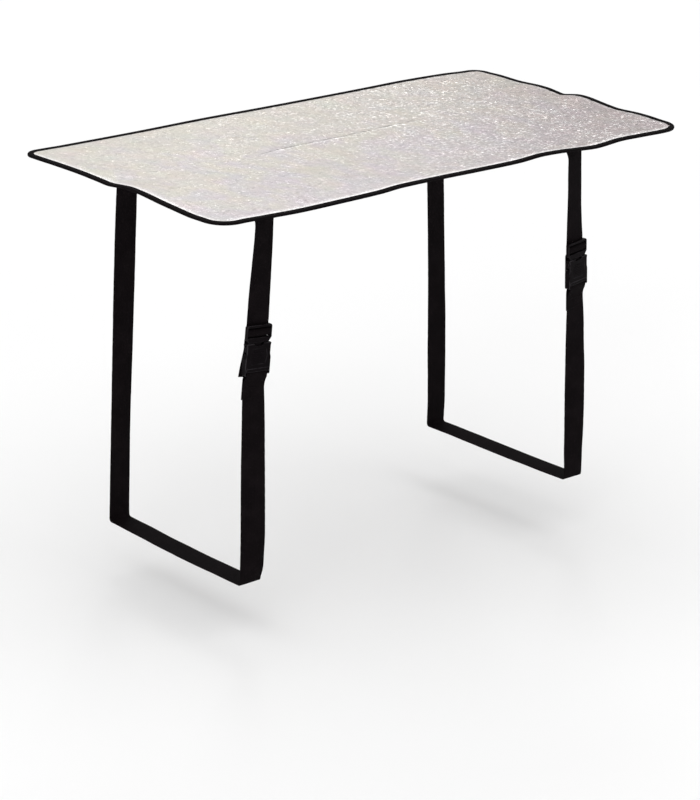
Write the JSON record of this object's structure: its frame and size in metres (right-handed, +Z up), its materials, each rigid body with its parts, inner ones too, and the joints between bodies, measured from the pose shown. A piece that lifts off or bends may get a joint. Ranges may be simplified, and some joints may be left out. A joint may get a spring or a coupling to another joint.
{
  "type": "air conditioner cover",
  "caption": "Flat foil-faced top cover with rounded corners and a bound edge, worn with webbing straps buckled into loops beneath it.",
  "frame": {"origin": "centre of the sheet's underside, where what it covers holds it up", "axes": "+X along the cover's length to its right end, +Y to the back, +Z up"},
  "size_m": [0.972, 0.487, 0.6248],
  "materials": {
    "foil_face": "glittering foil-faced sheet",
    "binding_tape": "woven black tape",
    "webbing": "woven black webbing",
    "buckle_plastic": "moulded black plastic, satin"
  },
  "bodies": {
    "root": {"cover_panel": "foil_face", "edge_binding": "binding_tape", "left_strap_upper": "webbing", "left_strap_lower": "webbing", "left_buckle_prongs": "buckle_plastic", "left_buckle_socket": "buckle_plastic", "right_strap_upper": "webbing", "right_strap_lower": "webbing", "right_buckle_prongs": "buckle_plastic", "right_buckle_socket": "buckle_plastic"}
  },
  "joints": []
}
